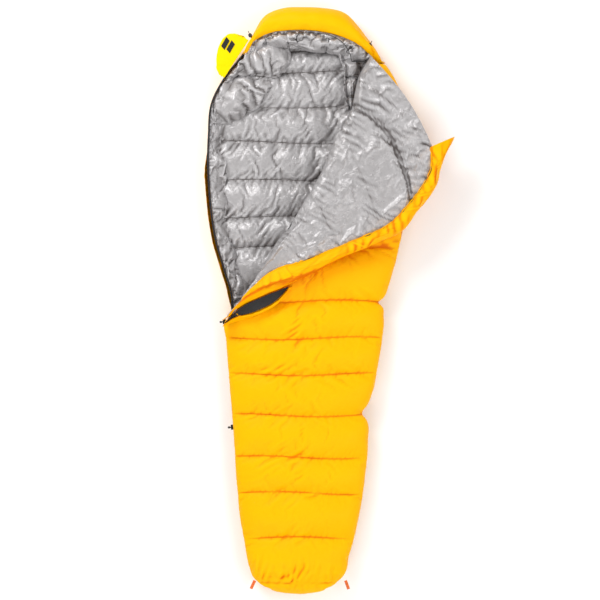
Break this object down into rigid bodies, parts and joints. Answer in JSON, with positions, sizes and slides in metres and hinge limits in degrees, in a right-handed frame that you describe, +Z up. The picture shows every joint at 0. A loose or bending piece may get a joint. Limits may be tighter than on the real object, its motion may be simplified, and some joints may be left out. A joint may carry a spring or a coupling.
{
  "type": "mummy sleeping bag",
  "caption": "Mummy sleeping bag lying flat with down chambers, a hood with drawcord, and a side zip opened so the front panel folds back over itself.",
  "frame": {"origin": "on the flat underside of the back panel, near the bag's middle", "axes": "+Z up out of the lying bag, +Y towards the head, +X towards the bag's closed side, away from the zip"},
  "size_m": [0.914, 2.1563, 0.2163],
  "materials": {
    "shell_fabric": "semi-gloss ripstop nylon",
    "lining_fabric": "glossy crinkled nylon taffeta",
    "down_fill": "soft matt",
    "tab_fabric": "semi-gloss nylon",
    "zip_tape": "matt woven",
    "zip_coil": "satin",
    "slider_metal": "satin enamel",
    "pull_plastic": "satin",
    "grip_patch": "matt pile",
    "cord": "braided elastic",
    "cord_lock": "satin",
    "loop_tape": "woven tape"
  },
  "bodies": {
    "root": {"back_shell": "shell_fabric", "back_lining": "lining_fabric", "back_down_01": "down_fill", "back_down_02": "down_fill", "back_down_03": "down_fill", "back_down_04": "down_fill", "back_down_05": "down_fill", "back_down_06": "down_fill", "back_down_07": "down_fill", "back_down_08": "down_fill", "back_down_09": "down_fill", "back_down_10": "down_fill", "back_down_11": "down_fill", "back_down_12": "down_fill", "back_down_13": "down_fill", "hood_shell": "shell_fabric", "hood_lining": "lining_fabric", "hood_back_down": "down_fill", "hood_down_left": "down_fill", "hood_down_right": "down_fill", "front_shell": "shell_fabric", "front_lining": "lining_fabric", "front_down_01": "down_fill", "front_down_02": "down_fill", "front_down_03": "down_fill", "front_down_04": "down_fill", "front_down_05": "down_fill", "front_down_06": "down_fill", "front_down_07": "down_fill", "front_down_08": "down_fill", "front_down_09": "down_fill", "foot_box": "shell_fabric", "draft_tube": "lining_fabric", "draft_collar_left": "lining_fabric", "draft_collar_right": "lining_fabric", "zip_tape_back": "zip_tape", "zip_coil_back": "zip_coil", "zip_tape_front": "zip_tape", "zip_coil_front": "zip_coil", "hood_drawcord": "cord"},
    "front_flap": {"flap_shell": "shell_fabric", "flap_lining": "lining_fabric", "flap_down_01": "down_fill", "flap_down_02": "down_fill", "flap_down_03": "down_fill", "zip_tape_flap": "zip_tape", "zip_coil_flap": "zip_coil"},
    "main_slider": {"main_slider": "slider_metal"},
    "main_pull": {"main_pull": "pull_plastic"},
    "lower_slider": {"lower_slider": "slider_metal"},
    "lower_pull": {"lower_pull": "pull_plastic"},
    "zip_tab": {"zip_tab": "tab_fabric", "tab_hook_patch": "grip_patch", "tab_loop_patch": "grip_patch"},
    "cord_lock_left": {"cord_lock_left": "cord_lock"},
    "cord_lock_button_left": {"cord_lock_button_left": "cord_lock"},
    "cord_lock_right": {"cord_lock_right": "cord_lock"},
    "cord_lock_button_right": {"cord_lock_button_right": "cord_lock"},
    "foot_loop_left": {"foot_loop_left": "loop_tape"},
    "foot_loop_right": {"foot_loop_right": "loop_tape"}
  },
  "joints": [
    {"name": "flap_fold", "type": "hinge", "parent": "root", "child": "front_flap", "pos_m": [-0.2891, -0.068, 0.1535], "axis": [-0.4848, -0.8746, 0], "range_deg": [0, 180]},
    {"name": "main_slider_travel", "type": "slide", "parent": "root", "child": "main_slider", "axis": [0.0775, -0.997, 0], "range_m": [0, 0.355]},
    {"name": "main_pull_swing", "type": "hinge", "parent": "main_slider", "child": "main_pull", "pos_m": [-0.29864, -0.08081, 0.0565], "axis": [0, 0, 1], "range_deg": [-60, 60]},
    {"name": "lower_slider_travel", "type": "slide", "parent": "root", "child": "lower_slider", "axis": [0.0775, -0.997, 0], "range_m": [0, 0.225]},
    {"name": "lower_pull_swing", "type": "hinge", "parent": "lower_slider", "child": "lower_pull", "pos_m": [-0.26833, -0.47081, 0.0565], "axis": [0, 0, 1], "range_deg": [-60, 60]},
    {"name": "zip_tab_fold", "type": "hinge", "parent": "root", "child": "zip_tab", "pos_m": [-0.3, 0.835, 0.108], "axis": [0.545, 0.8384, 0], "range_deg": [0, 150]},
    {"name": "cord_lock_left_slide", "type": "slide", "parent": "root", "child": "cord_lock_left", "axis": [-0.4067, 0.9135, 0], "range_m": [0, 0.01]},
    {"name": "cord_lock_left_press", "type": "slide", "parent": "cord_lock_left", "child": "cord_lock_button_left", "axis": [0, 0, -1], "range_m": [0, 0.0045], "stiffness_N_per_m": 300, "springref_m": -0.003},
    {"name": "cord_lock_right_slide", "type": "slide", "parent": "root", "child": "cord_lock_right", "axis": [0.4384, 0.8988, 0], "range_m": [0, 0.01]},
    {"name": "cord_lock_right_press", "type": "slide", "parent": "cord_lock_right", "child": "cord_lock_button_right", "axis": [0, 0, -1], "range_m": [0, 0.0045], "stiffness_N_per_m": 300, "springref_m": -0.003},
    {"name": "foot_loop_left_swing", "type": "hinge", "parent": "root", "child": "foot_loop_left", "pos_m": [-0.181, -1.036, 0.06], "axis": [-0.9063, 0.4226, 0], "range_deg": [-35, 70]},
    {"name": "foot_loop_right_swing", "type": "hinge", "parent": "root", "child": "foot_loop_right", "pos_m": [0.153, -1.036, 0.06], "axis": [-0.9397, -0.342, 0], "range_deg": [-35, 70]}
  ]
}
